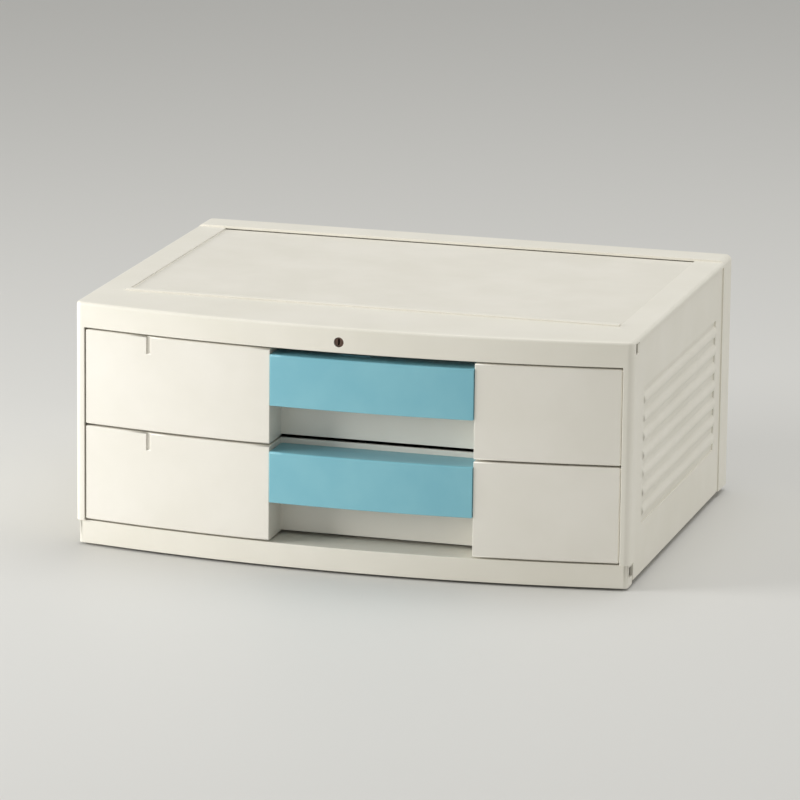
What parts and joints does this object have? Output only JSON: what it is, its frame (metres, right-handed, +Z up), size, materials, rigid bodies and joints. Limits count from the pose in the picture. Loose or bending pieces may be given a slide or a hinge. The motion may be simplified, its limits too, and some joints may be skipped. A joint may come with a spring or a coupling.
{
  "type": "cd storage drawer",
  "caption": "Low desktop chest for discs in cases: bowed front, stacked full-width drawers with hooded finger pulls, ribbed sides, rimmed top and a small key lock.",
  "frame": {"origin": "on the ground, below the middle of the whole object", "axes": "+X to the right seen from the front, +Y from the bowed front to the back, +Z up"},
  "size_m": [0.456, 0.363, 0.2011],
  "materials": {
    "cabinet_ivory": "fine satin moulded polystyrene, warm off-white",
    "drawer_ivory": "fine satin moulded polystyrene, warm off-white",
    "pull_blue": "semi-gloss moulded plastic, pale teal blue",
    "tray_plastic": "satin moulded polystyrene",
    "runner_plastic": "natural acetal, waxy",
    "lock_zinc": "die-cast zinc, dull plated",
    "plug_dark": "dark bronzed metal",
    "screw_steel": "zinc-plated steel",
    "foot_rubber": "matt black rubber"
  },
  "bodies": {
    "cabinet": {"front_bezel": "cabinet_ivory", "top_panel": "cabinet_ivory", "side_panel_left": "cabinet_ivory", "side_panel_right": "cabinet_ivory", "base_panel": "cabinet_ivory", "back_cover": "cabinet_ivory", "runner_upper_left": "runner_plastic", "runner_upper_right": "runner_plastic", "runner_lower_left": "runner_plastic", "runner_lower_right": "runner_plastic", "lock_barrel": "lock_zinc", "foot_front_left": "foot_rubber", "foot_front_right": "foot_rubber", "foot_rear_left": "foot_rubber", "foot_rear_right": "foot_rubber", "back_screws": "screw_steel", "top_screws": "screw_steel", "base_screws": "screw_steel", "runner_screws": "screw_steel", "lock_screws": "screw_steel"},
    "drawer_upper": {"drawer_front_upper": "drawer_ivory", "pull_upper": "pull_blue", "tray_upper": "tray_plastic", "divider_upper_left": "tray_plastic", "divider_upper_right": "tray_plastic", "front_screws_upper": "screw_steel"},
    "drawer_lower": {"drawer_front_lower": "drawer_ivory", "pull_lower": "pull_blue", "tray_lower": "tray_plastic", "divider_lower_left": "tray_plastic", "divider_lower_right": "tray_plastic", "front_screws_lower": "screw_steel"},
    "lock": {"lock_plug": "plug_dark", "lock_cam": "lock_zinc", "cam_screw": "screw_steel"}
  },
  "joints": [
    {"name": "drawer_upper_slide", "type": "slide", "parent": "cabinet", "child": "drawer_upper", "axis": [0, -1, 0], "range_m": [0, 0.25]},
    {"name": "drawer_lower_slide", "type": "slide", "parent": "cabinet", "child": "drawer_lower", "axis": [0, -1, 0], "range_m": [0, 0.25]},
    {"name": "lock_turn", "type": "hinge", "parent": "cabinet", "child": "lock", "pos_m": [-0.003, -0.17, 0.1877], "axis": [0, 1, 0], "range_deg": [0, 90]}
  ]
}
